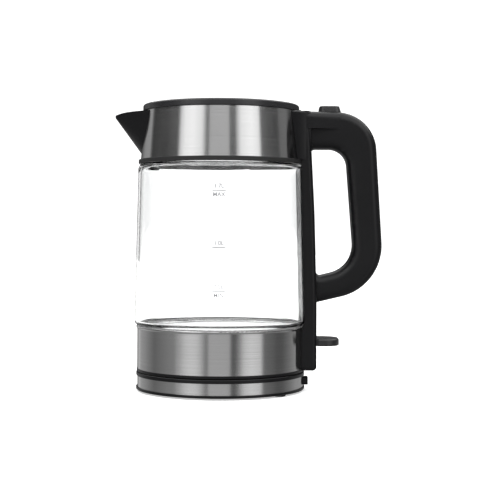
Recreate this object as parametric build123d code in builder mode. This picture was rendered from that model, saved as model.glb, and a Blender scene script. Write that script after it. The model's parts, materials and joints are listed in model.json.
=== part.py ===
from build123d import *

import os
from math import asin, cos, degrees, hypot, radians, sin, sqrt

os.makedirs("parts", exist_ok=True)

# Cordless glass kettle on its power base. Millimetres, +Z up, spout towards -X, handle towards +X.
# The origin is on the kettle's axis, in the plane of the table.

# ---- driving dimensions -------------------------------------------------------------------------

# general walls and clearances
steel_wall = 0.8            # sheet of the collar, the lower band and the base band
plastic_wall = 2.2          # moulded covers
moving_gap = 0.3            # between pieces of different bodies
seat_gap = 0.15             # between the handle and the vessel it is screwed to
running_gap = 0.05          # radial clearance of a pin in its bore

# power base, from the table upwards
foot_h = 1.5
base_rim_h = 2.25           # black rim under the steel band
base_band_h = 9.45
base_top_h = 3.2
base_r = 70.0               # outside of the base's steel band
base_rim_r = 71.0
base_top_r = 70.9
foot_r = 5.0
foot_circle_r = 64.0
foot_angles = (40, -40, 180)
base_screw_circle_r = 45.0
base_screw_angles = (0, 120, 240)
screw_r = 1.5
screw_head_r = 3.0
screw_head_h = 1.8

# coupler between base and kettle
tower_r = 19.5              # post that stands out of the base
tower_flange_r = 23.5
tower_rise = 10.6           # above the base's top face
pin_r = 2.5                 # the kettle's centre pin
sleeve_r = 4.5              # brass sleeve that takes the pin
sleeve_bore_r = 3.3
groove_in_r = 8.8           # ring groove in the tower
groove_out_r = 12.4
well_gap = 0.8              # between the tower and the kettle's well

# cord inlet of the base
inlet_reach = 73.8          # outer face, from the axis
inlet_w = 13.0
inlet_h = 6.3
inlet_z = 8.15              # middle of its height
inlet_bore_r = 3.1
inlet_len = 12.0

# kettle vessel
dock_gap = 0.4              # air between the base and the kettle
skirt_r = 70.5
skirt_h = 2.5
band_r = 70.2               # outside of the lower steel band
band_h = 33.1               # up to the start of its lip
lip_r = 71.0
lip_h = 2.2
plate_t = 1.2
element_circle_r = 38.0
element_r = 4.2
seal_h = 0.8
glass_wall = 2.5
glass_low_r = 72.5
glass_high_r = 69.8
shoulder_z = 185.6          # where the glass starts to turn in
shoulder_fillet = 4.5
neck_r = 65.3               # glass neck inside the collar
neck_h = 7.5
gasket_r = 69.5
gasket_h = 3.5
collar_low_r = 67.7
collar_high_r = 64.6
collar_h = 40.4
mouth_ring_in_r = 61.0
mouth_ring_wall = 2.4
mouth_ring_h = 24.0

# spout: half an elliptic cone with its tip away from the vessel
spout_tip = 90.6
spout_tip_z = 230.5
spout_root_x = 56.0
spout_root_half_w = 29.9
spout_root_depth = 50.0
spout_rise = 2.9            # of the top edge, from the tip to the lid
spout_nose = 5              # the higher, the shorter the rounded nose
spout_wall_x = 3.2
spout_wall_z = 2.4
pour_notch_w = 42.0
pour_notch_h = 26.0

# lid
lid_gap = 0.3               # under the lid's rim
lid_r = 65.9
lid_h = 5.4
lid_edge = 1.7
lid_skirt_r = 59.2
lid_plate_z = 8.0           # how far the inner plate hangs below the rim
hinge_x = 68.0
hinge_below = 2.3           # hinge axis below the lid's rim
hinge_pin_r = 1.5
hinge_pin_len = 34.0
knuckle_r = 3.0
knuckle_w = 20.8
spring_room = 4.8           # beside the knuckle

# handle
spine_half_w = 19.8
spine_low_x = 80.5
spine_low_z = 17.9
spine_edge = 4.0
root_half_w = 28.0
grip_half_w = 13.5
grip_edge = 7.5
cap_h = 14.4
cap_end_x = 108.0
cap_end_half_w = 11.3
cap_edge = 6.0
handle_wall = 2.2
cover_t = 2.5
vent_half_w = 6.0
channel_half_w = 17.4
channel_low_z = 33.0

# lid button and latch
button_travel = 4.0
button_ratio = 0.75         # latch travel for each unit of button travel
button_len = 18.9
button_w = 19.0
button_x = 91.55
button_lip = 1.2
stem_w = 6.0
stem_x = 91.0
stem_low_z = 215.0
wedge_h = 7.0
bar_z = 222.6
bar_t = 2.8
rail_in = 4.0
rail_out = 6.2
latch_nose_x = 71.5
riser_x = 74.2
latch_end_x = 98.0

# switch
switch_x = 74.0
switch_z = 41.2
switch_hub_r = 3.4
switch_pin_r = 1.5
paddle_t = 5.6
paddle_tip_x = 99.8
paddle_root_x = 81.6
paddle_half_w = 19.6
paddle_corner = 13.5
neck_half_w = 16.8
lever_half_w = 3.0
trip_x = 48.0
trip_z = 38.0
trip_half_w = 2.2

# steam tube
tube_r = 1.6
tube_bore_r = 1.0

# ---- derived heights ----------------------------------------------------------------------------

base_floor_z = foot_h
base_band_z = base_floor_z + base_rim_h
base_plate_z = base_band_z + base_band_h
base_top_z = base_plate_z + base_top_h
kettle_z = base_top_z + dock_gap
band_z = kettle_z + skirt_h
lip_z = band_z + band_h
rim_z = lip_z + lip_h                   # top of the steel lip under the glass
plate_z = rim_z - 1.6                   # top of the heated plate
glass_z = rim_z + seal_h
glass_top_z = shoulder_z + shoulder_fillet
gasket_z = glass_top_z
collar_z = gasket_z + gasket_h
collar_top_z = collar_z + collar_h
lid_z = collar_top_z + lid_gap
lid_top_z = lid_z + lid_h
hinge_z = lid_z - hinge_below
tower_top_z = base_top_z + tower_rise
well_r = tower_r + well_gap
well_top_z = tower_top_z + 1.2
handle_top_z = collar_top_z + 0.1
mouth_ring_r = mouth_ring_in_r + mouth_ring_wall
mouth_ring_z = collar_top_z - 0.2 - mouth_ring_h


# ---- helpers ------------------------------------------------------------------------------------

def outline(*points, radii=()):
    """A closed face in the XZ plane, with a fillet radius for each corner."""
    with BuildSketch(Plane.XZ) as face:
        with BuildLine():
            Polyline(*points, close=True)
        make_face()
        for point, radius in zip(points, radii):
            if radius > 0:
                fillet(face.vertices().sort_by_distance(point)[0], radius)
    return face.sketch


def save(piece, name):
    piece.part.label = name
    export_step(piece.part, f"parts/{name}.step")


def collar_radius(z):
    """Outside radius of the collar at a height."""
    return collar_low_r + (collar_high_r - collar_low_r) * (z - collar_z) / collar_h


def spot(radius, angle, z=0.0):
    """A point at a radius and an angle round the kettle's axis."""
    return (radius * cos(radians(angle)), radius * sin(radians(angle)), z)


def coil(radius, wire_r, turns, length, centre, direction):
    """A compression or torsion spring as a swept helix."""
    path = Helix(pitch=length / turns, height=length, radius=radius, center=centre, direction=direction)
    with BuildPart() as spring:
        with BuildSketch(Plane(origin=path @ 0, z_dir=path % 0)):
            Circle(wire_r)
        sweep(path=path)
    return spring.part


# ---- power base ---------------------------------------------------------------------------------

base_wall_r = base_r - steel_wall       # inside of the base's steel band
inlet_slot_w = inlet_w + 0.3
inlet_slot_h = inlet_h + 0.3
boss_r = 4.2
socket_depth = 0.7                      # how deep the feet sit in the floor

with BuildPart() as base_bottom_cover:
    with BuildSketch(Plane.XY.offset(base_floor_z)):
        Circle(base_rim_r)
    extrude(amount=base_rim_h)
    with BuildSketch(Plane.XY.offset(base_band_z)):
        Circle(base_wall_r - plastic_wall - 0.3)
        Circle(base_wall_r - 2 * plastic_wall - 0.3, mode=Mode.SUBTRACT)
    extrude(amount=3.0)
    fillet(base_bottom_cover.edges().filter_by(GeomType.CIRCLE).group_by(Axis.Z)[0], 0.8)
    with BuildSketch(Plane.XY.offset(base_floor_z)):
        with Locations(*[spot(foot_circle_r, a) for a in foot_angles]):
            Circle(foot_r)
    extrude(amount=socket_depth, mode=Mode.SUBTRACT)
    with BuildSketch(Plane.XY.offset(base_floor_z)):
        with Locations(*[spot(base_screw_circle_r, a) for a in base_screw_angles]):
            Circle(screw_r + 0.2)
    extrude(amount=base_rim_h, mode=Mode.SUBTRACT)
    with BuildSketch(Plane.XY.offset(base_floor_z)):
        with Locations(*[spot(base_screw_circle_r, a) for a in base_screw_angles]):
            Circle(screw_head_r + 0.3)
    extrude(amount=1.2, mode=Mode.SUBTRACT)
    with Locations((base_wall_r - 1.5 * plastic_wall, 0, inlet_z)):
        Box(3 * plastic_wall, inlet_slot_w, inlet_slot_h, mode=Mode.SUBTRACT)

with BuildPart() as base_steel_band:
    with BuildSketch(Plane.XY.offset(base_band_z)):
        Circle(base_r)
        Circle(base_wall_r, mode=Mode.SUBTRACT)
    extrude(amount=base_band_h)
    with Locations((base_r, 0, inlet_z)):
        Box(4 * steel_wall, inlet_slot_w, inlet_slot_h, mode=Mode.SUBTRACT)

with BuildPart() as base_top_cover:
    revolve(
        outline(
            (tower_r + 0.4, base_plate_z + 0.7),
            (base_wall_r - plastic_wall, base_plate_z + 0.7),
            (base_wall_r - plastic_wall, base_band_z + 0.3),
            (base_wall_r, base_band_z + 0.3),
            (base_wall_r, base_plate_z),
            (base_top_r, base_plate_z),
            (base_top_r, base_top_z),
            (tower_r + 0.4, base_top_z),
            radii=(0, 0, 0, 0, 0, 0.4, 0.9, 0),
        ),
        axis=Axis.Z,
    )
    with BuildSketch(Plane.XY.offset(base_band_z + 0.3)):
        with Locations(*[spot(base_screw_circle_r, a) for a in base_screw_angles]):
            Circle(boss_r)
            Circle(screw_r, mode=Mode.SUBTRACT)
    extrude(until=Until.NEXT)
    with Locations((base_wall_r, 0, inlet_z)):
        Box(4 * plastic_wall, inlet_slot_w, inlet_slot_h, mode=Mode.SUBTRACT)

with BuildPart() as base_feet:
    with BuildSketch(Plane.XY):
        with Locations(*[spot(foot_circle_r, a) for a in foot_angles]):
            Circle(foot_r)
    extrude(amount=foot_h + socket_depth)
    fillet(base_feet.edges().filter_by(GeomType.CIRCLE).group_by(Axis.Z)[0], 0.5)

with BuildPart() as base_screws:
    with BuildSketch(Plane.XY.offset(base_floor_z + 0.2)):
        with Locations(*[spot(base_screw_circle_r, a) for a in base_screw_angles]):
            Circle(screw_head_r)
    extrude(amount=1.0)
    with BuildSketch(Plane.XY.offset(base_floor_z + 1.2)):
        with Locations(*[spot(base_screw_circle_r, a) for a in base_screw_angles]):
            Circle(screw_r)
    extrude(amount=9.0)

with BuildPart() as base_coupler:
    tower_floor_z = base_plate_z - 5.0
    revolve(
        outline(
            (0, tower_floor_z),
            (tower_flange_r, tower_floor_z),
            (tower_flange_r, base_plate_z + 0.7),
            (tower_r, base_plate_z + 0.7),
            (tower_r, tower_top_z),
            (groove_out_r, tower_top_z),
            (groove_out_r, base_top_z),
            (groove_in_r, base_top_z),
            (groove_in_r, tower_top_z),
            (sleeve_r, tower_top_z),
            (sleeve_r, base_plate_z - 2.0),
            (0, base_plate_z - 2.0),
            radii=(0, 0, 0, 0, 1.2, 0.3, 0, 0, 0.3, 0.3, 0, 0),
        ),
        axis=Axis.Z,
    )

with BuildPart() as base_contacts:
    with BuildSketch(Plane.XY.offset(base_plate_z - 2.0)):
        Circle(sleeve_r)
        Circle(sleeve_bore_r, mode=Mode.SUBTRACT)
    extrude(amount=tower_rise + base_top_h)
    with BuildSketch(Plane.XY.offset(base_top_z)):
        Circle(groove_out_r)
        Circle(groove_out_r - 0.6, mode=Mode.SUBTRACT)
    extrude(amount=tower_rise - 2.0)

with BuildPart() as cord_inlet:
    with Locations((inlet_reach - inlet_len / 2, 0, inlet_z)):
        Box(inlet_len, inlet_w, inlet_h)
    fillet(cord_inlet.edges().filter_by(Axis.X), 1.2)
    with Locations((inlet_reach - inlet_len / 2, 0, inlet_z)):
        Cylinder(inlet_bore_r, inlet_len, rotation=(0, 90, 0), mode=Mode.SUBTRACT)

# ---- kettle bottom ------------------------------------------------------------------------------

band_in_r = band_r - steel_wall
post_circle_r = 52.0
post_angles = (60, 180, 300)
post_r = 4.0
post_split_z = band_z + 6.0             # where the cover's posts meet the plate's studs
well_wall = 2.0

with BuildPart() as bottom_cover:
    revolve(
        outline(
            (well_r, kettle_z),
            (skirt_r, kettle_z),
            (skirt_r, band_z),
            (band_in_r, band_z),
            (band_in_r, band_z + 4.5),
            (band_in_r - plastic_wall, band_z + 4.5),
            (band_in_r - plastic_wall, band_z),
            (well_r + well_wall, band_z),
            (well_r + well_wall, well_top_z),
            (well_r, well_top_z),
            radii=(0, 0.6, 0.3, 0, 0, 0, 0, 0, 0, 0),
        ),
        axis=Axis.Z,
    )
    with BuildSketch(Plane.XY.offset(band_z)):
        with Locations(*[spot(post_circle_r, a) for a in post_angles]):
            Circle(post_r)
    extrude(amount=post_split_z - band_z)
    with BuildSketch(Plane.XY.offset(kettle_z)):
        with Locations(*[spot(post_circle_r, a) for a in post_angles]):
            Circle(screw_r + 0.2)
    extrude(amount=post_split_z - kettle_z, mode=Mode.SUBTRACT)
    with BuildSketch(Plane.XY.offset(kettle_z)):
        with Locations(*[spot(post_circle_r, a) for a in post_angles]):
            Circle(screw_head_r + 0.3)
    extrude(amount=screw_head_h + 0.4, mode=Mode.SUBTRACT)

with BuildPart() as bottom_screws:
    with BuildSketch(Plane.XY.offset(kettle_z + 0.4)):
        with Locations(*[spot(post_circle_r, a) for a in post_angles]):
            Circle(screw_head_r)
    extrude(amount=screw_head_h)
    with BuildSketch(Plane.XY.offset(kettle_z + 0.4 + screw_head_h)):
        with Locations(*[spot(post_circle_r, a) for a in post_angles]):
            Circle(screw_r)
    extrude(amount=12.0)

# The band ends in a rolled lip that turns in under the glass.
window_half_w = 4.5
window_low_z = channel_low_z + 1.0
window_high_z = plate_z - plate_t - 1.2
handle_screw_y = 15.0
low_screw_y = 12.0
low_screw_z = 28.5
high_screw_z = collar_z + 9.0

with BuildPart() as lower_band:
    revolve(
        outline(
            (band_in_r, band_z),
            (band_r, band_z),
            (band_r, lip_z),
            (lip_r, lip_z + 1.0),
            (lip_r, rim_z),
            (lip_r - 5.0, rim_z),
            (lip_r - 5.0, rim_z - steel_wall),
            (lip_r - steel_wall - 0.2, rim_z - steel_wall),
            (band_in_r, lip_z + 0.4),
            radii=(0, 0, 1.2, 0.5, 0.6, 0, 0, 0.2, 1.2),
        ),
        axis=Axis.Z,
    )
    with Locations((band_r, 0, (window_low_z + window_high_z) / 2)):
        Box(6, 2 * window_half_w, window_high_z - window_low_z, mode=Mode.SUBTRACT)
    with Locations((band_r, low_screw_y, low_screw_z), (band_r, -low_screw_y, low_screw_z)):
        Cylinder(screw_r + 0.2, 12, rotation=(0, 90, 0), mode=Mode.SUBTRACT)

plate_rim_r = lip_r - 5.0
stud_r = 3.2
with BuildPart() as heater_plate:
    revolve(
        outline(
            (0, plate_z - plate_t),
            (plate_rim_r, plate_z - plate_t),
            (plate_rim_r, rim_z),
            (plate_rim_r - steel_wall, rim_z),
            (plate_rim_r - steel_wall, plate_z),
            (0, plate_z),
            radii=(0, 1.2, 0, 0, 0.6, 0),
        ),
        axis=Axis.Z,
    )
    with BuildSketch(Plane.XY.offset(post_split_z)):
        with Locations(*[spot(post_circle_r, a) for a in post_angles]):
            Circle(stud_r)
            Circle(screw_r, mode=Mode.SUBTRACT)
    extrude(amount=plate_z - plate_t - post_split_z)

# A sheathed ring under the plate, open over the controller's arm, with a cold pin down from each end.
element_z = plate_z - plate_t - element_r + 0.8
element_half_gap = 30.0
element_start = Plane(origin=(0, 0, 0), x_dir=spot(1, element_half_gap), z_dir=spot(1, element_half_gap - 90))
with BuildPart() as heating_element:
    with BuildSketch(element_start):
        with Locations((element_circle_r, element_z)):
            Circle(element_r)
        with Locations((element_circle_r, plate_z - plate_t + element_r)):
            Rectangle(3 * element_r, 2 * element_r, mode=Mode.SUBTRACT)
    revolve(axis=Axis.Z, revolution_arc=360 - 2 * element_half_gap)
    with BuildSketch(Plane.XY.offset(element_z - 12)):
        with Locations(spot(element_circle_r, element_half_gap + 4), spot(element_circle_r, -element_half_gap - 4)):
            Circle(1.6)
    extrude(amount=12)

with BuildPart() as lower_seal:
    with BuildSketch(Plane.XY.offset(rim_z)):
        Circle(glass_low_r - 3.3)
        Circle(plate_rim_r - steel_wall, mode=Mode.SUBTRACT)
    extrude(amount=seal_h)

with BuildPart() as glass_body:
    inner = glass_wall
    revolve(
        outline(
            (glass_low_r - 5.5, glass_z),
            (glass_low_r, glass_z),
            (glass_low_r, glass_z + 5.5),
            (glass_high_r, shoulder_z - 4.6),
            (glass_high_r, glass_top_z),
            (neck_r, glass_top_z),
            (neck_r, glass_top_z + neck_h),
            (neck_r - inner, glass_top_z + neck_h),
            (neck_r - inner, glass_top_z - inner),
            (glass_high_r - inner, glass_top_z - inner),
            (glass_high_r - inner, shoulder_z - 4.6),
            (glass_low_r - inner, glass_z + 5.5),
            (glass_low_r - inner, glass_z + inner),
            (glass_low_r - 5.5, glass_z + inner),
            radii=(0.6, 3.2, 30, 60, shoulder_fillet, 0, 1.0, 1.0, 0, 2.0, 60, 30, 1.5, 0.6),
        ),
        axis=Axis.Z,
    )

with BuildPart() as glass_gasket:
    with BuildSketch(Plane.XY.offset(gasket_z)):
        Circle(gasket_r)
        Circle(neck_r, mode=Mode.SUBTRACT)
    extrude(amount=gasket_h)
    rings = glass_gasket.edges().filter_by(GeomType.CIRCLE)
    fillet(rings.filter_by(lambda e: abs(e.radius - gasket_r) < 0.01), 0.5)

# ---- coupler and switchgear inside the bottom ----------------------------------------------------

shelf_z = well_top_z
controller_z = shelf_z + 6.0
ring_in_r = groove_in_r + 0.6
ring_out_r = groove_out_r - 1.4

with BuildPart() as kettle_coupler:
    revolve(
        outline(
            (pin_r + running_gap, shelf_z),
            (ring_in_r, shelf_z),
            (ring_in_r, base_top_z + 2.0),
            (ring_out_r, base_top_z + 2.0),
            (ring_out_r, shelf_z),
            (well_r + well_wall, shelf_z),
            (well_r + well_wall, controller_z),
            (pin_r + running_gap, controller_z),
        ),
        axis=Axis.Z,
    )

with BuildPart() as kettle_centre_pin:
    with BuildSketch(Plane.XY.offset(base_top_z + 1.0)):
        Circle(pin_r)
    extrude(amount=controller_z - base_top_z - 1.0)
    fillet(kettle_centre_pin.edges().filter_by(GeomType.CIRCLE).group_by(Axis.Z)[0], 1.0)

controller_r = 21.0
arm_end_x = trip_x + 3.4
arm_half_w = 9.0
controller_h = 9.0
bimetal_tab_h = 5.4                     # keeps the disc above the lifted trip lever
with BuildPart() as controller:
    with BuildSketch(Plane.XY.offset(controller_z)):
        Circle(controller_r)
        with Locations((arm_end_x / 2, 0)):
            Rectangle(arm_end_x, 2 * arm_half_w)
    extrude(amount=controller_h)
    fillet(controller.edges().filter_by(Axis.Z), 1.5)
    with Locations((trip_x, 0, controller_z + controller_h / 2)):
        Box(9.0, 2 * trip_half_w + 0.8, controller_h, mode=Mode.SUBTRACT)
    with Locations((trip_x, 0, trip_z)):
        Cylinder(1.05, 2 * arm_half_w, rotation=(90, 0, 0), mode=Mode.SUBTRACT)
    with Locations((arm_end_x - 8.0, arm_half_w - 2.0, controller_z + controller_h)):
        Box(4.0, 4.0, bimetal_tab_h, align=(Align.CENTER, Align.CENTER, Align.MIN))
    with Locations((arm_end_x - 8.0, -arm_half_w + 2.0, controller_z + controller_h)):
        Box(4.0, 4.0, bimetal_tab_h, align=(Align.CENTER, Align.CENTER, Align.MIN))

disc_z = controller_z + controller_h + bimetal_tab_h
with BuildPart() as steam_bimetal:
    with BuildSketch(Plane.XY.offset(disc_z)):
        with Locations((arm_end_x - 4.0, 0)):
            Circle(7.5)
    extrude(amount=0.6)

with BuildPart() as trip_pin:
    with Locations((trip_x, 0, trip_z)):
        Cylinder(1.0, 2 * arm_half_w - 1.0, rotation=(90, 0, 0))

lever_end_x = switch_x - 15.5
with BuildPart() as trip_lever:
    with BuildSketch(Plane.XZ):
        with BuildLine():
            FilletPolyline(
                (trip_x - 3.0, trip_z - 2.4),
                (trip_x + 3.0, trip_z - 2.4),
                (lever_end_x - 2.0, switch_z + 2.4),
                (lever_end_x + 1.5, switch_z + 2.4),
                (lever_end_x + 1.5, switch_z + 4.2),
                (lever_end_x - 3.0, switch_z + 4.2),
                (trip_x - 1.0, trip_z + 2.4),
                (trip_x - 3.0, trip_z + 2.4),
                radius=0.5,
                close=True,
            )
        make_face()
    extrude(amount=trip_half_w, both=True)
    with Locations((trip_x, 0, trip_z)):
        Cylinder(1.0 + running_gap, 12, rotation=(90, 0, 0), mode=Mode.SUBTRACT)

# ---- collar, mouth and spout --------------------------------------------------------------------

def pour_notch(depth_from, depth_to):
    """A V-shaped prism through the collar, under the lid at the spout's side."""
    top = collar_top_z + 1.0
    with BuildPart() as notch:
        with BuildSketch(Plane.YZ.offset(-depth_to)):
            with BuildLine():
                FilletPolyline(
                    (-pour_notch_w / 2, top),
                    (pour_notch_w / 2, top),
                    (0, collar_top_z - pour_notch_h),
                    radius=(0, 0, 4.0),
                    close=True,
                )
            make_face()
        extrude(amount=depth_to - depth_from)
    return notch.part


with BuildPart() as collar:
    revolve(
        outline(
            (collar_low_r - steel_wall, collar_z),
            (collar_low_r, collar_z),
            (collar_high_r, collar_top_z),
            (collar_high_r - steel_wall, collar_top_z),
        ),
        axis=Axis.Z,
    )
    add(pour_notch(40, 80), mode=Mode.SUBTRACT)
    with Locations((collar_low_r, handle_screw_y, high_screw_z), (collar_low_r, -handle_screw_y, high_screw_z)):
        Cylinder(screw_r + 0.2, 14, rotation=(0, 90, 0), mode=Mode.SUBTRACT)
    with Locations((collar_low_r, 0, high_screw_z + 9.4)):
        Cylinder(tube_r + 0.2, 14, rotation=(0, 90, 0), mode=Mode.SUBTRACT)

with BuildPart() as mouth_ring:
    with BuildSketch(Plane.XY.offset(mouth_ring_z)):
        Circle(mouth_ring_r)
        Circle(mouth_ring_in_r, mode=Mode.SUBTRACT)
    extrude(amount=mouth_ring_h)
    add(pour_notch(40, 80), mode=Mode.SUBTRACT)
    with Locations((mouth_ring_r, 0, high_screw_z + 9.4)):
        Cylinder(tube_r + 0.2, 14, rotation=(0, 90, 0), mode=Mode.SUBTRACT)


def spout_cone(shift_x, shift_z):
    """Half an elliptic cone, opening towards the vessel; shifted inwards it is the pour channel."""
    reach = spout_tip - spout_root_x
    root_low_z = spout_tip_z + spout_rise - spout_root_depth
    with BuildPart() as cone:
        for share in (1.0, 0.55, 0.3, 0.14, 0.035):
            top_z = spout_tip_z + spout_rise * (1 - (1 - share) ** spout_nose)
            low_z = spout_tip_z + (root_low_z - spout_tip_z) * share
            half_w = spout_root_half_w * share ** 0.9
            with BuildSketch(Plane.YZ.offset(-spout_tip + reach * share + shift_x)):
                with Locations((0, top_z + shift_z)):
                    Ellipse(half_w, top_z - low_z)
                    with Locations((0, top_z - low_z)):
                        Rectangle(3 * half_w, 2 * (top_z - low_z), mode=Mode.SUBTRACT)
        loft()
    return cone.part


collar_cutter = outline(
    (0, collar_z - 30),
    (collar_radius(collar_z - 30) + 0.05, collar_z - 30),
    (collar_radius(collar_top_z + 20) + 0.05, collar_top_z + 20),
    (0, collar_top_z + 20),
)

with BuildPart() as spout:
    add(spout_cone(0, 0))
    add(spout_cone(spout_wall_x, spout_wall_z), mode=Mode.SUBTRACT)
    with Locations((-spout_root_x - 20, 0, collar_top_z - 0.1)):
        Box(80, 80, 20, align=(Align.CENTER, Align.CENTER, Align.MIN), mode=Mode.SUBTRACT)
    revolve(collar_cutter, axis=Axis.Z, mode=Mode.SUBTRACT)

# The filter clips inside the mouth ring, behind the notch.
filter_r = mouth_ring_in_r - 0.1
filter_t = 1.8
filter_half_a = degrees(asin(pour_notch_w / 2 / mouth_ring_in_r)) + 3.0
filter_z = collar_top_z - pour_notch_h - 3.0
filter_top_z = lid_z - lid_plate_z - 1.5


def filter_sector(outer_r, thickness, margin):
    """An upright sector of a ring behind the spout, smaller by a margin all round."""
    with BuildPart() as sector:
        with BuildSketch(Plane.XZ):
            with Locations((-outer_r + thickness / 2, (filter_z + filter_top_z) / 2)):
                Rectangle(thickness, filter_top_z - filter_z - 2 * margin)
        half = filter_half_a - degrees(margin / outer_r)
        revolve(axis=Axis.Z, revolution_arc=2 * half)
    return sector.part.rotate(Axis.Z, -half)


with BuildPart() as filter_frame:
    add(filter_sector(filter_r, filter_t, 0))
    add(filter_sector(filter_r + 1, filter_t + 2, 2.4), mode=Mode.SUBTRACT)

with BuildPart() as filter_mesh:
    add(filter_sector(filter_r - 0.7, 0.4, 2.4))

# ---- lid ----------------------------------------------------------------------------------------

lid_top_t = 2.0
skirt_low_z = lid_z - lid_plate_z + 1.0

with BuildPart() as lid_cover:
    revolve(
        outline(
            (0, lid_top_z - lid_top_t - 0.6),
            (lid_skirt_r - plastic_wall, lid_top_z - lid_top_t - 0.6),
            (lid_skirt_r - plastic_wall, skirt_low_z),
            (lid_skirt_r, skirt_low_z),
            (lid_skirt_r, lid_z + 1.6),
            (lid_r - plastic_wall, lid_z + 1.6),
            (lid_r - plastic_wall, lid_z),
            (lid_r, lid_z),
            (lid_r, lid_top_z),
            (lid_r - 5.0, lid_top_z),
            (lid_r - 8.0, lid_top_z - 0.6),
            (0, lid_top_z - 0.6),
            radii=(0, 0, 0, 0.4, 0, 0, 0, 0.3, lid_edge, 1.0, 1.0, 0),
        ),
        axis=Axis.Z,
    )
    with Locations((lid_r - 2.0, 0, lid_z + 0.1)):
        Box(6.0, knuckle_w, 1.2, align=(Align.CENTER, Align.CENTER, Align.MIN))
    with Locations((hinge_x, 0, hinge_z)):
        Cylinder(knuckle_r, knuckle_w, rotation=(90, 0, 0))
        Cylinder(hinge_pin_r + running_gap, knuckle_w, rotation=(90, 0, 0), mode=Mode.SUBTRACT)

inner_plate_z = lid_z - lid_plate_z
with BuildPart() as lid_inner_plate:
    revolve(
        outline(
            (0, inner_plate_z),
            (lid_skirt_r, inner_plate_z),
            (lid_skirt_r, skirt_low_z),
            (lid_skirt_r - plastic_wall - 6.0, skirt_low_z),
            (lid_skirt_r - plastic_wall - 6.0, inner_plate_z + steel_wall),
            (0, inner_plate_z + steel_wall),
            radii=(0, 0.6, 0, 0, 0, 0),
        ),
        axis=Axis.Z,
    )

with BuildPart() as lid_seal:
    seal_z = skirt_low_z + 1.0
    revolve(
        outline(
            (lid_skirt_r, seal_z),
            (mouth_ring_in_r - moving_gap, seal_z + 1.6),
            (mouth_ring_in_r - moving_gap, seal_z + 2.4),
            (lid_skirt_r, seal_z + 3.0),
        ),
        axis=Axis.Z,
    )

with BuildPart() as hinge_pin:
    with Locations((hinge_x, 0, hinge_z)):
        Cylinder(hinge_pin_r, hinge_pin_len, rotation=(90, 0, 0))

# ---- handle -------------------------------------------------------------------------------------

# Outer outline: top, outer corner, slightly leaning outer side, and the lower arm back to the spine.
outer_corner_x = 128.8
lower_corner = (137.6, 87.7)
lower_arm_slope = 0.236
loop_top_z = 203.2
loop_corner = (105.0, loop_top_z)
loop_low_corner = (112.6, 104.2)
loop_spine_low = (80.1, 96.2)
loop_spine_mid = (78.4, 150.0)
loop_spine_top = (75.6, loop_top_z)
outer_radius = 33.0
lower_radius = 44.0
arm_root_x = 66.0
arm_root_z = lower_corner[1] - lower_arm_slope * (lower_corner[0] - arm_root_x)


def handle_profile(inset):
    """The handle's outer outline, inset by a distance, in the XZ plane."""
    return outline(
        (arm_root_x, arm_root_z + inset),
        (lower_corner[0] - inset, lower_corner[1] + inset),
        (outer_corner_x - inset, handle_top_z - inset),
        (arm_root_x, handle_top_z - inset),
        radii=(0, lower_radius - inset, outer_radius - inset, 0),
    )


loop_face = outline(
    loop_spine_top,
    loop_corner,
    loop_low_corner,
    loop_spine_low,
    loop_spine_mid,
    radii=(3.5, 15.0, 24.0, 4.0, 800.0),
)


def spine_profile(inset, low_z, high_z):
    """The upright behind the vessel between two heights, its outer face inset by a distance."""
    with BuildSketch(Plane.XZ) as face:
        add(
            outline(
                (55.0, spine_low_z),
                (spine_low_x - inset, spine_low_z),
                (spine_low_x - inset, 76.0),
                (loop_spine_mid[0] - inset, loop_spine_mid[1]),
                (loop_spine_top[0] - inset, loop_top_z),
                (loop_spine_top[0] - 1.6 - inset, handle_top_z),
                (55.0, handle_top_z),
                radii=(0, 3.4 - min(inset, 3.4), 300, 800, 300, 0, 0),
            )
        )
        with Locations((68.0, (low_z + high_z) / 2)):
            Rectangle(60.0, high_z - low_z, mode=Mode.INTERSECT)
    return face.sketch


# The vessel's outside with the seat gap, which the handle is cut to.
vessel_face = outline(
    (0, kettle_z - 5),
    (skirt_r + seat_gap, kettle_z - 5),
    (skirt_r + seat_gap, band_z + 0.3),
    (band_r + seat_gap, band_z + 0.3),
    (band_r + seat_gap, lip_z - 1.0),
    (lip_r + seat_gap, lip_z + 0.6),
    (lip_r + seat_gap, rim_z),
    (glass_low_r + seat_gap, rim_z + 2.0),
    (glass_low_r + seat_gap, glass_z + 7.0),
    (glass_high_r + seat_gap, shoulder_z - 6.0),
    (glass_high_r + seat_gap, collar_z + 0.1),
    (collar_low_r + seat_gap, collar_z + 0.1),
    (collar_high_r + seat_gap, collar_top_z),
    (collar_high_r + seat_gap, collar_top_z + 20),
    (0, collar_top_z + 20),
)

with BuildPart() as grip_blank:
    with BuildSketch(Plane.XZ):
        add(handle_profile(0))
        add(loop_face, mode=Mode.SUBTRACT)
    extrude(amount=grip_half_w, both=True)
    grip_edges = grip_blank.edges().filter_by(lambda e: abs(abs(e.center().Y) - grip_half_w) < 0.01)
    fillet(grip_edges.filter_by(lambda e: e.center().X > arm_root_x + 1), grip_edge)

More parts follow.
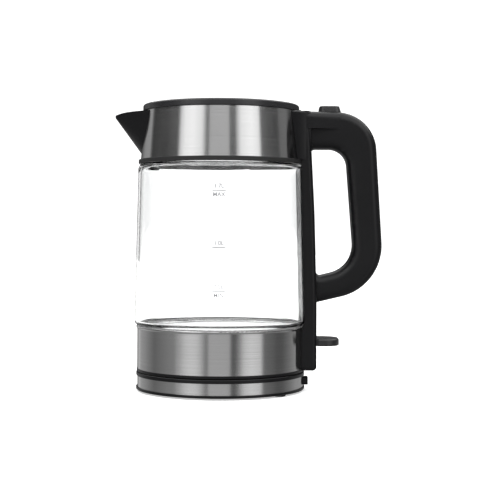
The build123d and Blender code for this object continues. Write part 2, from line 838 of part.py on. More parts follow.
with BuildPart() as cap_blank:
    with BuildSketch(Plane.XY.offset(handle_top_z - cap_h)):
        with BuildLine():
            Polyline(
                (arm_root_x, -spine_half_w),
                (loop_spine_top[0], -spine_half_w),
                (cap_end_x, -cap_end_half_w),
                (outer_corner_x, -cap_end_half_w),
                (outer_corner_x, cap_end_half_w),
                (cap_end_x, cap_end_half_w),
                (loop_spine_top[0], spine_half_w),
                (arm_root_x, spine_half_w),
                close=True,
            )
        make_face()
    extrude(amount=cap_h)
    with BuildSketch(Plane.XZ):
        add(handle_profile(0))
    extrude(amount=40, both=True, mode=Mode.INTERSECT)
    cap_edges = cap_blank.edges().filter_by(Axis.Z, reverse=True)
    cap_edges = cap_edges.filter_by(lambda e: abs(e.center().Y) > 5 and e.center().X > arm_root_x + 1)
    fillet(cap_edges.filter_by(lambda e: e.center().Z > handle_top_z - cap_h + 0.1), cap_edge)

with BuildPart() as root_blank:
    with BuildSketch(Plane.XY.offset(collar_z + 0.2)):
        with BuildLine():
            front = Polyline((54, root_half_w + 1.0), (54, -root_half_w - 1.0), (59, -root_half_w))
            side = ThreePointArc(front @ 1, (66.5, -22.2), (loop_spine_top[0] - 1.0, -spine_half_w + 1.5))
            back = Line(side @ 1, (loop_spine_top[0] - 1.0, spine_half_w - 1.5))
            other = ThreePointArc(back @ 1, (66.5, 22.2), (59, root_half_w))
            Line(other @ 1, front @ 0)
        make_face()
    extrude(amount=handle_top_z - collar_z - 0.2)
    root_edges = root_blank.edges().group_by(Axis.Z)[-1]
    fillet(root_edges.filter_by(lambda e: abs(e.center().Y) > 5 and e.center().X > 59), 2.0)

with BuildPart() as spine_blank:
    with BuildSketch(Plane.XZ):
        add(spine_profile(0, spine_low_z, handle_top_z))
    extrude(amount=spine_half_w, both=True)
    side_edges = spine_blank.edges().filter_by(lambda e: abs(abs(e.center().Y) - spine_half_w) < 0.01)
    fillet(side_edges.filter_by(lambda e: 56 < e.center().X and 19 < e.center().Z < handle_top_z - 1), spine_edge)

with BuildPart() as handle_blank:
    add(spine_blank.part)
    add(grip_blank.part)
    add(cap_blank.part)
    add(root_blank.part)
    revolve(vessel_face, axis=Axis.Z, mode=Mode.SUBTRACT)

# The cover closes the handle along its top and its outer side.
cover_start_x = 76.5
cover_low_z = 100.0
with BuildPart() as cover_zone:
    with BuildSketch(Plane.XZ):
        add(handle_profile(-2))
        add(handle_profile(cover_t), mode=Mode.SUBTRACT)
        with Locations((cover_start_x - 20, handle_top_z)):
            Rectangle(40, 20, mode=Mode.SUBTRACT)
        with Locations((arm_root_x + 30, cover_low_z - 30)):
            Rectangle(160, 60, mode=Mode.SUBTRACT)
    extrude(amount=40, both=True)

button_corner = 5.0
pocket_gap = 1.8
cover_under_z = handle_top_z - cover_t


def button_prism(margin, low_z, high_z):
    """The rounded rectangle of the button's plan, grown by a margin."""
    with BuildPart() as prism:
        with BuildSketch(Plane.XY.offset(low_z)):
            with Locations((button_x, 0)):
                RectangleRounded(button_len + 2 * margin, button_w + 2 * margin, button_corner + margin)
        extrude(amount=high_z - low_z)
    return prism.part


with BuildPart() as handle_cover:
    add(handle_blank.part)
    add(cover_zone.part, mode=Mode.INTERSECT)
    add(button_prism(moving_gap, cover_under_z - 1, handle_top_z + 1), mode=Mode.SUBTRACT)

flange_z = cover_under_z - 0.6
with BuildPart() as handle_shell:
    add(handle_blank.part)
    add(cover_zone.part, mode=Mode.SUBTRACT)
    # hollow of the grip and the top arm, closed by the cover
    with BuildSketch(Plane.XZ):
        add(handle_profile(cover_t))
        offset(loop_face, amount=handle_wall + 1.0, mode=Mode.SUBTRACT)
        add(spine_profile(-1.0, 0, handle_top_z - 5), mode=Mode.SUBTRACT)
        with Locations((100, 100 - 30)):
            Rectangle(160, 60, mode=Mode.SUBTRACT)
        with Locations((60, handle_top_z)):
            Rectangle(34, 20, mode=Mode.SUBTRACT)
    extrude(amount=grip_half_w - 3.6, both=True, mode=Mode.SUBTRACT)
    # room for the button's flange
    add(button_prism(pocket_gap, flange_z - button_lip - button_travel - 0.5, cover_under_z), mode=Mode.SUBTRACT)
    # channel behind the glass for the steam tube and the switch
    with BuildSketch(Plane.XZ):
        add(spine_profile(handle_wall, channel_low_z, gasket_z - 1.0))
    extrude(amount=channel_half_w, both=True, mode=Mode.SUBTRACT)
    with BuildSketch(Plane.XZ):
        add(spine_profile(handle_wall - 0.4, gasket_z - 4.0, high_screw_z + 13.0))
    extrude(amount=vent_half_w, both=True, mode=Mode.SUBTRACT)
    # slot for the latch, up to the hinge
    with Locations((switch_x + 4.0, 0, hinge_z - 0.3)):
        Box(14.0, 2 * rail_out + 0.8, 4.0, align=(Align.CENTER, Align.CENTER, Align.MAX), mode=Mode.SUBTRACT)
    with Locations((riser_x - 0.3, 0, bar_z - 0.5)):
        Box(14.0, 2 * rail_out + 0.8, hinge_z - bar_z, align=(Align.MIN, Align.CENTER, Align.MIN),
            mode=Mode.SUBTRACT)
    # room for the lid's knuckle, its web and, beside them, the lid's spring
    with Locations((hinge_x, spring_room / 2, hinge_z)):
        Cylinder(knuckle_r + 1.2, knuckle_w + 0.6 + spring_room, rotation=(90, 0, 0), mode=Mode.SUBTRACT)
    with Locations((hinge_x + knuckle_r + 1.2, spring_room / 2, hinge_z)):
        Box(30, knuckle_w + 0.6 + spring_room, 20, align=(Align.MAX, Align.CENTER, Align.MIN),
            mode=Mode.SUBTRACT)
    with Locations((hinge_x, 0, hinge_z)):
        Cylinder(hinge_pin_r, hinge_pin_len, rotation=(90, 0, 0), mode=Mode.SUBTRACT)
    # slot and bores for the switch
    with Locations((spine_low_x, 0, switch_z - 0.7)):
        Box(8.0, 2 * neck_half_w + 0.8, paddle_t + 2.2, mode=Mode.SUBTRACT)
    with Locations((switch_x, 0, switch_z)):
        Cylinder(switch_pin_r, 2 * spine_half_w - 1.6, rotation=(90, 0, 0), mode=Mode.SUBTRACT)
    # pilot holes of the handle screws
    with Locations((60, handle_screw_y, high_screw_z), (60, -handle_screw_y, high_screw_z)):
        Cylinder(screw_r, 13.0, rotation=(0, 90, 0), align=(Align.CENTER, Align.CENTER, Align.MIN),
                 mode=Mode.SUBTRACT)
    with Locations((64, low_screw_y, low_screw_z), (64, -low_screw_y, low_screw_z)):
        Cylinder(screw_r, 12.0, rotation=(0, 90, 0), align=(Align.CENTER, Align.CENTER, Align.MIN),
                 mode=Mode.SUBTRACT)

# ---- fasteners and tube -------------------------------------------------------------------------

high_head_x = sqrt((collar_radius(high_screw_z - screw_head_r) - steel_wall) ** 2
                   - (handle_screw_y + screw_head_r) ** 2) - screw_head_h - 0.2
low_head_x = sqrt(band_in_r ** 2 - (low_screw_y + screw_head_r) ** 2) - screw_head_h - 0.1

with BuildPart() as handle_screws:
    for x, y, z, length in (
        (high_head_x, handle_screw_y, high_screw_z, 9.0),
        (high_head_x, -handle_screw_y, high_screw_z, 9.0),
        (low_head_x, low_screw_y, low_screw_z, 9.0),
        (low_head_x, -low_screw_y, low_screw_z, 9.0),
    ):
        with Locations(Location((x, y, z), (0, 90, 0))):
            Cylinder(screw_head_r, screw_head_h, align=(Align.CENTER, Align.CENTER, Align.MIN))
            Cylinder(screw_r, length, align=(Align.CENTER, Align.CENTER, Align.MIN))

tube_top_z = high_screw_z + 9.4
tube_low_z = window_high_z - tube_r - 0.3
with BuildPart() as steam_tube:
    with BuildLine() as tube_path:
        FilletPolyline(
            (mouth_ring_in_r + 0.5, 0, tube_top_z),
            (71.7, 0, tube_top_z),
            (73.8, 0, 125.0),
            (75.5, 0, 63.0),
            (75.5, 0, tube_low_z),
            (62.5, 0, tube_low_z),
            radius=(5.0, 200.0, 200.0, 5.0),
        )
    with BuildSketch(Plane(origin=tube_path.line @ 0, z_dir=tube_path.line % 0)):
        Circle(tube_r)
        Circle(tube_bore_r, mode=Mode.SUBTRACT)
    sweep(path=tube_path.line)

# ---- lid button and latch -----------------------------------------------------------------------

button_top_z = lid_top_z - 0.3
with BuildPart() as lid_button:
    add(button_prism(0, flange_z - button_lip, handle_top_z))
    with BuildSketch(Plane.XY.offset(handle_top_z)):
        with Locations((button_x, 0)):
            RectangleRounded(button_len, button_w, button_corner)
    with BuildSketch(Plane.XY.offset(button_top_z)):
        with Locations((button_x - 0.5, 0)):
            RectangleRounded(button_len - 2.4, button_w - 1.6, button_corner - 0.8)
    loft()
    fillet(lid_button.faces().sort_by(Axis.Z)[-1].edges(), 0.9)
    add(button_prism(1.2, flange_z - button_lip, flange_z))
    with BuildSketch(Plane.XZ):
        with BuildLine():
            Polyline(
                (stem_x - stem_w / 2, flange_z),
                (stem_x + stem_w / 2, flange_z),
                (stem_x + stem_w / 2, stem_low_z + wedge_h),
                (stem_x + stem_w / 2 - button_ratio * wedge_h, stem_low_z),
                (stem_x - stem_w / 2, stem_low_z),
                close=True,
            )
        make_face()
    extrude(amount=stem_w / 2, both=True)

wedge_gap = moving_gap / (1 / hypot(1, button_ratio))
latch_face_x = stem_x + stem_w / 2 + wedge_gap
bar_top_z = bar_z + bar_t
nose_low_z = hinge_z - 2.7
nose_high_z = hinge_z - 0.7
with BuildPart() as lid_latch:
    with BuildSketch(Plane.XY.offset(bar_z)):
        with Locations(((riser_x + latch_end_x) / 2, 0)):
            Rectangle(latch_end_x - riser_x, 2 * rail_out)
        with Locations(((riser_x + 5.4 + latch_face_x) / 2, 0)):
            Rectangle(latch_face_x - riser_x - 5.4, 2 * rail_in, mode=Mode.SUBTRACT)
    extrude(amount=bar_t)
    with Locations((riser_x, 0, bar_z)):
        Box(2.8, 2 * rail_out, nose_high_z - bar_z, align=(Align.MIN, Align.CENTER, Align.MIN))
    with Locations((latch_nose_x, 0, nose_low_z)):
        Box(4.0, 2 * rail_in, nose_high_z - nose_low_z, align=(Align.MIN, Align.CENTER, Align.MIN))
    with BuildSketch(Plane.XZ):
        with BuildLine():
            Polyline(
                (latch_face_x, bar_z + bar_t),
                (latch_face_x, stem_low_z + wedge_h),
                (latch_face_x - button_ratio * wedge_h, stem_low_z),
                (latch_end_x, stem_low_z),
                (latch_end_x, bar_z + bar_t),
                close=True,
            )
        make_face()
    extrude(amount=rail_in, both=True)

spring_len = 9.0
with BuildPart() as button_spring:
    add(coil(2.0, 0.35, 5, flange_z - button_lip - bar_top_z + 3.0 - 0.8,
             (riser_x + 5.4 + 5.0, 0, bar_top_z - 3.0 + 0.4), (0, 0, 1)))

with BuildPart() as spring_posts:
    with BuildSketch(Plane.XY.offset(loop_top_z + handle_wall + 1.0)):
        with Locations((riser_x + 10.4, 0)):
            Circle(2.6)
    extrude(amount=bar_top_z - 3.0 - loop_top_z - handle_wall - 1.0)

with BuildPart() as latch_spring:
    add(coil(2.0, 0.35, 5, spring_len - 0.8, (latch_end_x + 0.4, 0, bar_z - 3.0), (1, 0, 0)))

with BuildPart() as latch_stop:
    with Locations((latch_end_x + spring_len, 0, bar_z - 3.0)):
        Box(2.0, 2 * (grip_half_w - 3.6), 8.0, align=(Align.MIN, Align.CENTER, Align.CENTER))

with BuildPart() as handle_frame:
    add(handle_shell.part)
    add(spring_posts.part)
    add(latch_stop.part)

with BuildPart() as lid_spring:
    add(coil(2.3, 0.35, 5, 3.4, (hinge_x, knuckle_w / 2 + 0.8, hinge_z), (0, 1, 0)))

# ---- switch -------------------------------------------------------------------------------------

with BuildPart() as switch_paddle:
    with BuildSketch(Plane.XY.offset(switch_z - paddle_t / 2)):
        with BuildLine():
            FilletPolyline(
                (paddle_root_x, -paddle_half_w),
                (paddle_tip_x, -paddle_half_w),
                (paddle_tip_x, paddle_half_w),
                (paddle_root_x, paddle_half_w),
                radius=(0.8, paddle_corner, paddle_corner, 0.8),
                close=True,
            )
        make_face()
    extrude(amount=paddle_t)
    fillet(switch_paddle.edges().group_by(Axis.Z)[-1], 1.0)
    fillet(switch_paddle.edges().group_by(Axis.Z)[0], 0.8)
    with Locations((switch_x, 0, switch_z - paddle_t / 2)):
        Box(paddle_root_x - switch_x + 2.0, 2 * neck_half_w, paddle_t,
            align=(Align.MIN, Align.CENTER, Align.MIN))
    with Locations((switch_x, 0, switch_z)):
        Cylinder(switch_hub_r, 2 * neck_half_w, rotation=(90, 0, 0))
        Cylinder(switch_pin_r + running_gap, 2 * neck_half_w, rotation=(90, 0, 0), mode=Mode.SUBTRACT)
    with Locations((lever_end_x, 0, switch_z - 1.8)):
        Box(switch_x - switch_pin_r - 1.0 - lever_end_x, 2 * lever_half_w, 3.6,
            align=(Align.MIN, Align.CENTER, Align.MIN))

with BuildPart() as switch_pin:
    with Locations((switch_x, 0, switch_z)):
        Cylinder(switch_pin_r, 2 * spine_half_w - 1.6, rotation=(90, 0, 0))

# ---- files --------------------------------------------------------------------------------------

pieces = {
    "base_bottom_cover": base_bottom_cover,
    "base_steel_band": base_steel_band,
    "base_top_cover": base_top_cover,
    "base_feet": base_feet,
    "base_screws": base_screws,
    "base_coupler": base_coupler,
    "base_contacts": base_contacts,
    "cord_inlet": cord_inlet,
    "bottom_cover": bottom_cover,
    "bottom_screws": bottom_screws,
    "lower_band": lower_band,
    "heater_plate": heater_plate,
    "heating_element": heating_element,
    "lower_seal": lower_seal,
    "glass_body": glass_body,
    "glass_gasket": glass_gasket,
    "kettle_coupler": kettle_coupler,
    "kettle_centre_pin": kettle_centre_pin,
    "controller": controller,
    "steam_bimetal": steam_bimetal,
    "trip_pin": trip_pin,
    "trip_lever": trip_lever,
    "collar": collar,
    "mouth_ring": mouth_ring,
    "spout": spout,
    "filter_frame": filter_frame,
    "filter_mesh": filter_mesh,
    "lid_cover": lid_cover,
    "lid_inner_plate": lid_inner_plate,
    "lid_seal": lid_seal,
    "hinge_pin": hinge_pin,
    "lid_spring": lid_spring,
    "handle_frame": handle_frame,
    "handle_cover": handle_cover,
    "handle_screws": handle_screws,
    "steam_tube": steam_tube,
    "lid_button": lid_button,
    "button_spring": button_spring,
    "lid_latch": lid_latch,
    "latch_spring": latch_spring,
    "switch_paddle": switch_paddle,
    "switch_pin": switch_pin,
}
for piece_name, piece in pieces.items():
    save(piece, piece_name)
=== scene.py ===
import json
from math import cos, pi, radians, sin

import bmesh
import bpy
from mathutils import Matrix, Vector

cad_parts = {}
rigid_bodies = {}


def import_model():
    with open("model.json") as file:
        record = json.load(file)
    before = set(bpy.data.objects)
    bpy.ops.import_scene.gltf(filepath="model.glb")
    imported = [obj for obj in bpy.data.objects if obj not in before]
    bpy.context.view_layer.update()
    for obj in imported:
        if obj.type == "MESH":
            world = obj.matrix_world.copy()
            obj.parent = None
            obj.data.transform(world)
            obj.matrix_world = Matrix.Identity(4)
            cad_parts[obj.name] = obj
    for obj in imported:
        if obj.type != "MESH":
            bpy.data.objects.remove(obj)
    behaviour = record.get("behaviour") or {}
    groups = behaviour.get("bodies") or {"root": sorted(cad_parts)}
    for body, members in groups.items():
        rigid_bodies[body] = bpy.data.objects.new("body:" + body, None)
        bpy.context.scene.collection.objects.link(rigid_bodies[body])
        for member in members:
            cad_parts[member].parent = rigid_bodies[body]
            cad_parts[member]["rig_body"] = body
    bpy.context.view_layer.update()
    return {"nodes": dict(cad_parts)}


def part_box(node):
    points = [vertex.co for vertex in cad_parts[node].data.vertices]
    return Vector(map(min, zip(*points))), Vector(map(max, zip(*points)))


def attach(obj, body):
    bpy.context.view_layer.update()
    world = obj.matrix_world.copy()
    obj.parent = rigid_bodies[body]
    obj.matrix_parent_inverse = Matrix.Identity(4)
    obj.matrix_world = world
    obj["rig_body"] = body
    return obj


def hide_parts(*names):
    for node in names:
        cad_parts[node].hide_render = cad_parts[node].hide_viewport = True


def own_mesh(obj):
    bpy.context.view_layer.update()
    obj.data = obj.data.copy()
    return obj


bl_info = {
    "name": "Glass Kettle",
    "version": (1, 0, 0),
    "blender": (4, 5, 0),
    "location": "View3D > Sidebar > Kettle",
    "description": "Finishes of a cordless glass kettle on its power base",
    "category": "Object",
}

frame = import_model()

MM = 0.001

WELD_DISTANCE = 0.002 * MM      # corners closer than this are one
SHORT_EDGE = 0.001 * MM         # shorter edges are dissolved
CREASE_ANGLE = radians(24)      # a sharper edge stays a crease
GLASS_CREASE_ANGLE = radians(35)

# sockets of a Mix node that share their labels with others
MIX_FLOATS = (2, 3)
MIX_COLOURS = (6, 7)
MIX_COLOUR_RESULT = 2

NOISE_RANGE = (0.3, 0.7)        # where most of a noise texture's values lie

BRUSHED_LINES = 2600.0          # scales of the brushed steel: across its lines,
BRUSHED_SWEEP = 9.0             # along them,
BRUSHED_CLOUDS = 22.0           # and of its soft clouds
BRUSHED_TURN = 0.95             # how much more a line spreads a reflection across than along it
LINE_TINTS = (0.84, 1.14)       # colour of the lines, as shares of the steel's
LINE_GLOSS = (0.8, 1.25)        # their roughness, as shares of the steel's
LINE_SHARE = 0.6                # the lines' part in the roughness, the clouds have the rest
LINE_DEPTH = 0.02 * MM
LINE_RELIEF = 0.4

MOULDED_GRAIN = 1500.0          # scales of moulded plastic: its grain,
MOULDED_MARKS = 30.0            # and its handling marks
MARK_TINTS = (0.85, 1.2)
MARK_GLOSS = (0.88, 1.15)
GRAIN_DEPTH = 0.04 * MM
GRAIN_RELIEF = 0.25

METAL_GRAIN = 900.0
METAL_MARKS = 120.0
METAL_DARKEST = 0.8
METAL_GLOSS = (0.7, 1.3)

GLASS_IOR = 1.46
GLASS_WAVES = 26.0
GLASS_MARKS = 12.0
GLASS_ROUGHEST = 0.02
WAVE_DEPTH = 0.08 * MM
WAVE_RELIEF = 0.12


# ---- settings -----------------------------------------------------------------------------------

class KettleFinishSettings(bpy.types.PropertyGroup):
    """Colours and gloss of the kettle's surfaces"""

    plastic_colour: bpy.props.FloatVectorProperty(
        name="Black plastic", description="Colour of the handle, the spout and the base",
        subtype="COLOR", size=3, min=0, max=1, default=(0.0040, 0.0040, 0.0046))
    lid_colour: bpy.props.FloatVectorProperty(
        name="Lid plastic", description="Colour of the lid, its button and the switch",
        subtype="COLOR", size=3, min=0, max=1, default=(0.012, 0.012, 0.013))
    steel_colour: bpy.props.FloatVectorProperty(
        name="Steel", description="Colour of the brushed steel bands",
        subtype="COLOR", size=3, min=0, max=1, default=(0.60, 0.60, 0.60))
    steel_roughness: bpy.props.FloatProperty(
        name="Steel roughness", description="How far the brushing spreads a reflection",
        min=0.02, max=1, default=0.17)
    glass_tint: bpy.props.FloatVectorProperty(
        name="Glass tint", description="Colour of the glass",
        subtype="COLOR", size=3, min=0, max=1, default=(0.985, 0.99, 0.99))
    rubber_colour: bpy.props.FloatVectorProperty(
        name="Rubber", description="Colour of the gasket and the feet",
        subtype="COLOR", size=3, min=0, max=1, default=(0.012, 0.012, 0.012))


class KettleMarkSettings(bpy.types.PropertyGroup):
    """The printed level scale on the glass"""

    top_z: bpy.props.FloatProperty(
        name="1.7 l line", description="Height of the highest line", unit="LENGTH",
        default=166.1 * MM)
    middle_z: bpy.props.FloatProperty(
        name="1.0 l line", description="Height of the middle line", unit="LENGTH",
        default=120.9 * MM)
    low_z: bpy.props.FloatProperty(
        name="0.5 l line", description="Height of the lowest line", unit="LENGTH",
        default=86.4 * MM)
    line_width: bpy.props.FloatProperty(
        name="Line length", description="Length of a line round the glass", unit="LENGTH",
        default=10.7 * MM)
    line_height: bpy.props.FloatProperty(
        name="Line height", description="Thickness of a line", unit="LENGTH",
        default=0.7 * MM)
    text_height: bpy.props.FloatProperty(
        name="Letter size", description="Size of the numbers", unit="LENGTH",
        default=4.6 * MM)
    ink_colour: bpy.props.FloatVectorProperty(
        name="Ink", description="Colour of the print", subtype="COLOR", size=3, min=0, max=1,
        default=(0.20, 0.20, 0.21))


class KettleStageSettings(bpy.types.PropertyGroup):
    """Camera, floor and light"""

    distance: bpy.props.FloatProperty(
        name="Camera distance", description="From the kettle's axis", unit="LENGTH",
        default=1.026)
    eye_height: bpy.props.FloatProperty(
        name="Eye height", description="Above the table", unit="LENGTH",
        default=0.1334)
    side_step: bpy.props.FloatProperty(
        name="Side step", description="Camera's offset towards the handle", unit="LENGTH",
        default=0.0228)
    lens: bpy.props.FloatProperty(
        name="Lens", description="Focal length in millimetres", min=10, max=300, default=87.3)
    top_light: bpy.props.FloatProperty(
        name="Top light", description="Strength of the soft light from above", min=0,
        default=4.6)


# ---- node helpers -------------------------------------------------------------------------------

def node(tree, kind, **values):
    """A node with some of its properties and unlinked inputs set."""
    made = tree.nodes.new(kind)
    for key, value in values.items():
        if key in made.inputs:
            made.inputs[key].default_value = value
        else:
            setattr(made, key, value)
    return made


def maths(tree, operation, a, b=0.0, clamp=False):
    """A Math node; each of a and b is a number or a socket."""
    made = tree.nodes.new("ShaderNodeMath")
    made.operation = operation
    made.use_clamp = clamp
    for socket, value in zip(made.inputs, (a, b)):
        if isinstance(value, bpy.types.NodeSocket):
            tree.links.new(value, socket)
        else:
            socket.default_value = value
    return made.outputs[0]


def new_group(name, inputs, outputs):
    """An empty shader node group with number inputs and float outputs."""
    tree = bpy.data.node_groups.new(name, "ShaderNodeTree")
    for label, default in inputs.items():
        socket = tree.interface.new_socket(
            name=label, in_out="INPUT", socket_type="NodeSocketFloat")
        socket.default_value = default
    for label in outputs:
        tree.interface.new_socket(
            name=label, in_out="OUTPUT", socket_type="NodeSocketFloat")
    return tree, tree.nodes.new("NodeGroupInput"), tree.nodes.new("NodeGroupOutput")


def brushed_lines_group():
    """Fine lines that run round the kettle's axis, and the soft clouds of a handled surface."""
    tree, given, result = new_group(
        "Brushed Lines",
        {"Lines": BRUSHED_LINES, "Sweep": BRUSHED_SWEEP, "Clouds": BRUSHED_CLOUDS},
        ("Line", "Cloud"))
    place = tree.nodes.new("ShaderNodeTexCoord")
    split = tree.nodes.new("ShaderNodeSeparateXYZ")
    join = tree.nodes.new("ShaderNodeCombineXYZ")
    tree.links.new(place.outputs["Object"], split.inputs[0])
    for axis, scale in ((0, "Sweep"), (1, "Sweep"), (2, "Lines")):
        stretched = maths(tree, "MULTIPLY", split.outputs[axis], given.outputs[scale])
        tree.links.new(stretched, join.inputs[axis])
    lines = node(tree, "ShaderNodeTexNoise", Scale=1.0, Detail=4.0, Roughness=0.65)
    clouds = node(tree, "ShaderNodeTexNoise", Detail=3.0, Roughness=0.5)
    tree.links.new(join.outputs[0], lines.inputs["Vector"])
    tree.links.new(place.outputs["Object"], clouds.inputs["Vector"])
    tree.links.new(given.outputs["Clouds"], clouds.inputs["Scale"])
    tree.links.new(lines.outputs["Fac"], result.inputs["Line"])
    tree.links.new(clouds.outputs["Fac"], result.inputs["Cloud"])
    return tree


def moulded_grain_group():
    """The fine spark-eroded grain of a moulded surface, with faint handling marks."""
    tree, given, result = new_group(
        "Moulded Grain", {"Grain": MOULDED_GRAIN, "Marks": MOULDED_MARKS}, ("Grain", "Mark"))
    place = tree.nodes.new("ShaderNodeTexCoord")
    grain = node(tree, "ShaderNodeTexNoise", Detail=2.0, Roughness=0.6)
    marks = node(tree, "ShaderNodeTexNoise", Detail=4.0, Roughness=0.6)
    for texture, scale in ((grain, "Grain"), (marks, "Marks")):
        tree.links.new(place.outputs["Object"], texture.inputs["Vector"])
        tree.links.new(given.outputs[scale], texture.inputs["Scale"])
    tree.links.new(grain.outputs["Fac"], result.inputs["Grain"])
    tree.links.new(marks.outputs["Fac"], result.inputs["Mark"])
    return tree


def shared_group(name, make):
    """The node group of that name, made at its first use."""
    return bpy.data.node_groups.get(name) or make()


def start_material(name, group, **group_values):
    """A material, its tree, its Principled shader and a group node with its values set."""
    material = bpy.data.materials.new(name)
    material.use_nodes = True
    tree = material.node_tree
    shader = tree.nodes["Principled BSDF"]
    placed = tree.nodes.new("ShaderNodeGroup")
    placed.node_tree = group
    for key, value in group_values.items():
        placed.inputs[key].default_value = value
    return material, tree, shader, placed


def vary(tree, source, low, high, target):
    """Links a noise value to a socket, spread between two numbers."""
    spread = node(tree, "ShaderNodeMapRange")
    spread.inputs["From Min"].default_value = NOISE_RANGE[0]
    spread.inputs["From Max"].default_value = NOISE_RANGE[1]
    spread.inputs["To Min"].default_value = low
    spread.inputs["To Max"].default_value = high
    tree.links.new(source, spread.inputs["Value"])
    tree.links.new(spread.outputs[0], target)


def tint(tree, source, dark, light, target):
    """Links a 0 to 1 value to a colour socket, as a mix of two colours."""
    mix = node(tree, "ShaderNodeMix", data_type="RGBA")
    for socket, colour in zip(MIX_COLOURS, (dark, light)):
        mix.inputs[socket].default_value = (*colour, 1)
    tree.links.new(source, mix.inputs["Factor"])
    tree.links.new(mix.outputs[MIX_COLOUR_RESULT], target)


def relief(tree, source, distance, strength, shader):
    """Raises the surface where a 0 to 1 value is high."""
    bump = node(tree, "ShaderNodeBump", Strength=strength, Distance=distance)
    tree.links.new(source, bump.inputs["Height"])
    tree.links.new(bump.outputs[0], shader.inputs["Normal"])


def scaled(colour, factor):
    """A colour made lighter or darker."""
    return tuple(min(1.0, c * factor) for c in colour)


# ---- materials ----------------------------------------------------------------------------------

def steel_material(name, colour, roughness, lines=BRUSHED_LINES, turned=BRUSHED_TURN):
    """Sheet steel brushed round its circumference."""
    if name in bpy.data.materials:
        return bpy.data.materials[name]
    group = shared_group("Brushed Lines", brushed_lines_group)
    material, tree, shader, placed = start_material(name, group, Lines=lines)
    shader.inputs["Metallic"].default_value = 1.0
    shader.inputs["Anisotropic"].default_value = turned
    shader.inputs["Anisotropic Rotation"].default_value = 0.25
    dark, light = (scaled(colour, share) for share in LINE_TINTS)
    tint(tree, placed.outputs["Line"], dark, light, shader.inputs["Base Color"])
    mixed = maths(tree, "ADD", maths(tree, "MULTIPLY", placed.outputs["Line"], LINE_SHARE),
                  maths(tree, "MULTIPLY", placed.outputs["Cloud"], 1 - LINE_SHARE))
    smooth, rough = (roughness * share for share in LINE_GLOSS)
    vary(tree, mixed, smooth, rough, shader.inputs["Roughness"])
    relief(tree, placed.outputs["Line"], LINE_DEPTH, LINE_RELIEF, shader)
    tangent = node(tree, "ShaderNodeTangent", direction_type="RADIAL", axis="Z")
    tree.links.new(tangent.outputs[0], shader.inputs["Tangent"])
    return material


def plastic_material(name, colour, roughness, specular, grain=MOULDED_GRAIN):
    """Moulded plastic with a fine grain."""
    if name in bpy.data.materials:
        return bpy.data.materials[name]
    group = shared_group("Moulded Grain", moulded_grain_group)
    material, tree, shader, placed = start_material(name, group, Grain=grain)
    shader.inputs["Specular IOR Level"].default_value = specular
    dark, light = (scaled(colour, share) for share in MARK_TINTS)
    tint(tree, placed.outputs["Mark"], dark, light, shader.inputs["Base Color"])
    smooth, rough = (roughness * share for share in MARK_GLOSS)
    vary(tree, placed.outputs["Mark"], smooth, rough, shader.inputs["Roughness"])
    relief(tree, placed.outputs["Grain"], GRAIN_DEPTH, GRAIN_RELIEF, shader)
    return material


def metal_material(name, colour, roughness):
    """Plain turned or plated metal of small parts."""
    if name in bpy.data.materials:
        return bpy.data.materials[name]
    group = shared_group("Moulded Grain", moulded_grain_group)
    material, tree, shader, placed = start_material(
        name, group, Grain=METAL_GRAIN, Marks=METAL_MARKS)
    shader.inputs["Metallic"].default_value = 1.0
    dark = scaled(colour, METAL_DARKEST)
    tint(tree, placed.outputs["Mark"], dark, colour, shader.inputs["Base Color"])
    smooth, rough = (roughness * share for share in METAL_GLOSS)
    vary(tree, placed.outputs["Mark"], smooth, rough, shader.inputs["Roughness"])
    return material


def glass_material(name, colour):
    """Clear drawn glass with barely visible unevenness."""
    if name in bpy.data.materials:
        return bpy.data.materials[name]
    group = shared_group("Moulded Grain", moulded_grain_group)
    material, tree, shader, placed = start_material(
        name, group, Grain=GLASS_WAVES, Marks=GLASS_MARKS)
    shader.inputs["Base Color"].default_value = (*colour, 1)
    shader.inputs["Transmission Weight"].default_value = 1.0
    shader.inputs["IOR"].default_value = GLASS_IOR
    vary(tree, placed.outputs["Mark"], 0.0, GLASS_ROUGHEST, shader.inputs["Roughness"])
    relief(tree, placed.outputs["Grain"], WAVE_DEPTH, WAVE_RELIEF, shader)
    return material


def finish_settings():
    return bpy.context.scene.kettle_finish


def brushed_steel():
    finish = finish_settings()
    return steel_material("Brushed Steel", finish.steel_colour, finish.steel_roughness)


def plate_steel():
    return steel_material("Plate Steel", scaled(finish_settings().steel_colour, 1.1),
                          roughness=0.14, lines=900.0, turned=0.3)


def black_plastic():
    return plastic_material("Black Plastic", finish_settings().plastic_colour,
                            roughness=0.36, specular=0.24)


def base_plastic():
    return plastic_material("Base Plastic", finish_settings().plastic_colour,
                            roughness=0.32, specular=0.24)


def lid_plastic():
    return plastic_material("Lid Plastic", finish_settings().lid_colour,
                            roughness=0.3, specular=0.5)


def inner_plastic():
    return plastic_material("Inner Plastic", (0.045, 0.045, 0.047),
                            roughness=0.5, specular=0.4)


def black_rubber():
    return plastic_material("Black Rubber", finish_settings().rubber_colour,
                            roughness=0.6, specular=0.3, grain=2400.0)


def silicone():
    return plastic_material("Silicone", (0.3, 0.3, 0.3),
                            roughness=0.45, specular=0.5, grain=800.0)


def zinc_steel():
    return metal_material("Zinc Steel", (0.5, 0.5, 0.5), roughness=0.3)


def brass():
    return metal_material("Brass", (0.6, 0.43, 0.16), roughness=0.3)


# ---- pieces -------------------------------------------------------------------------------------

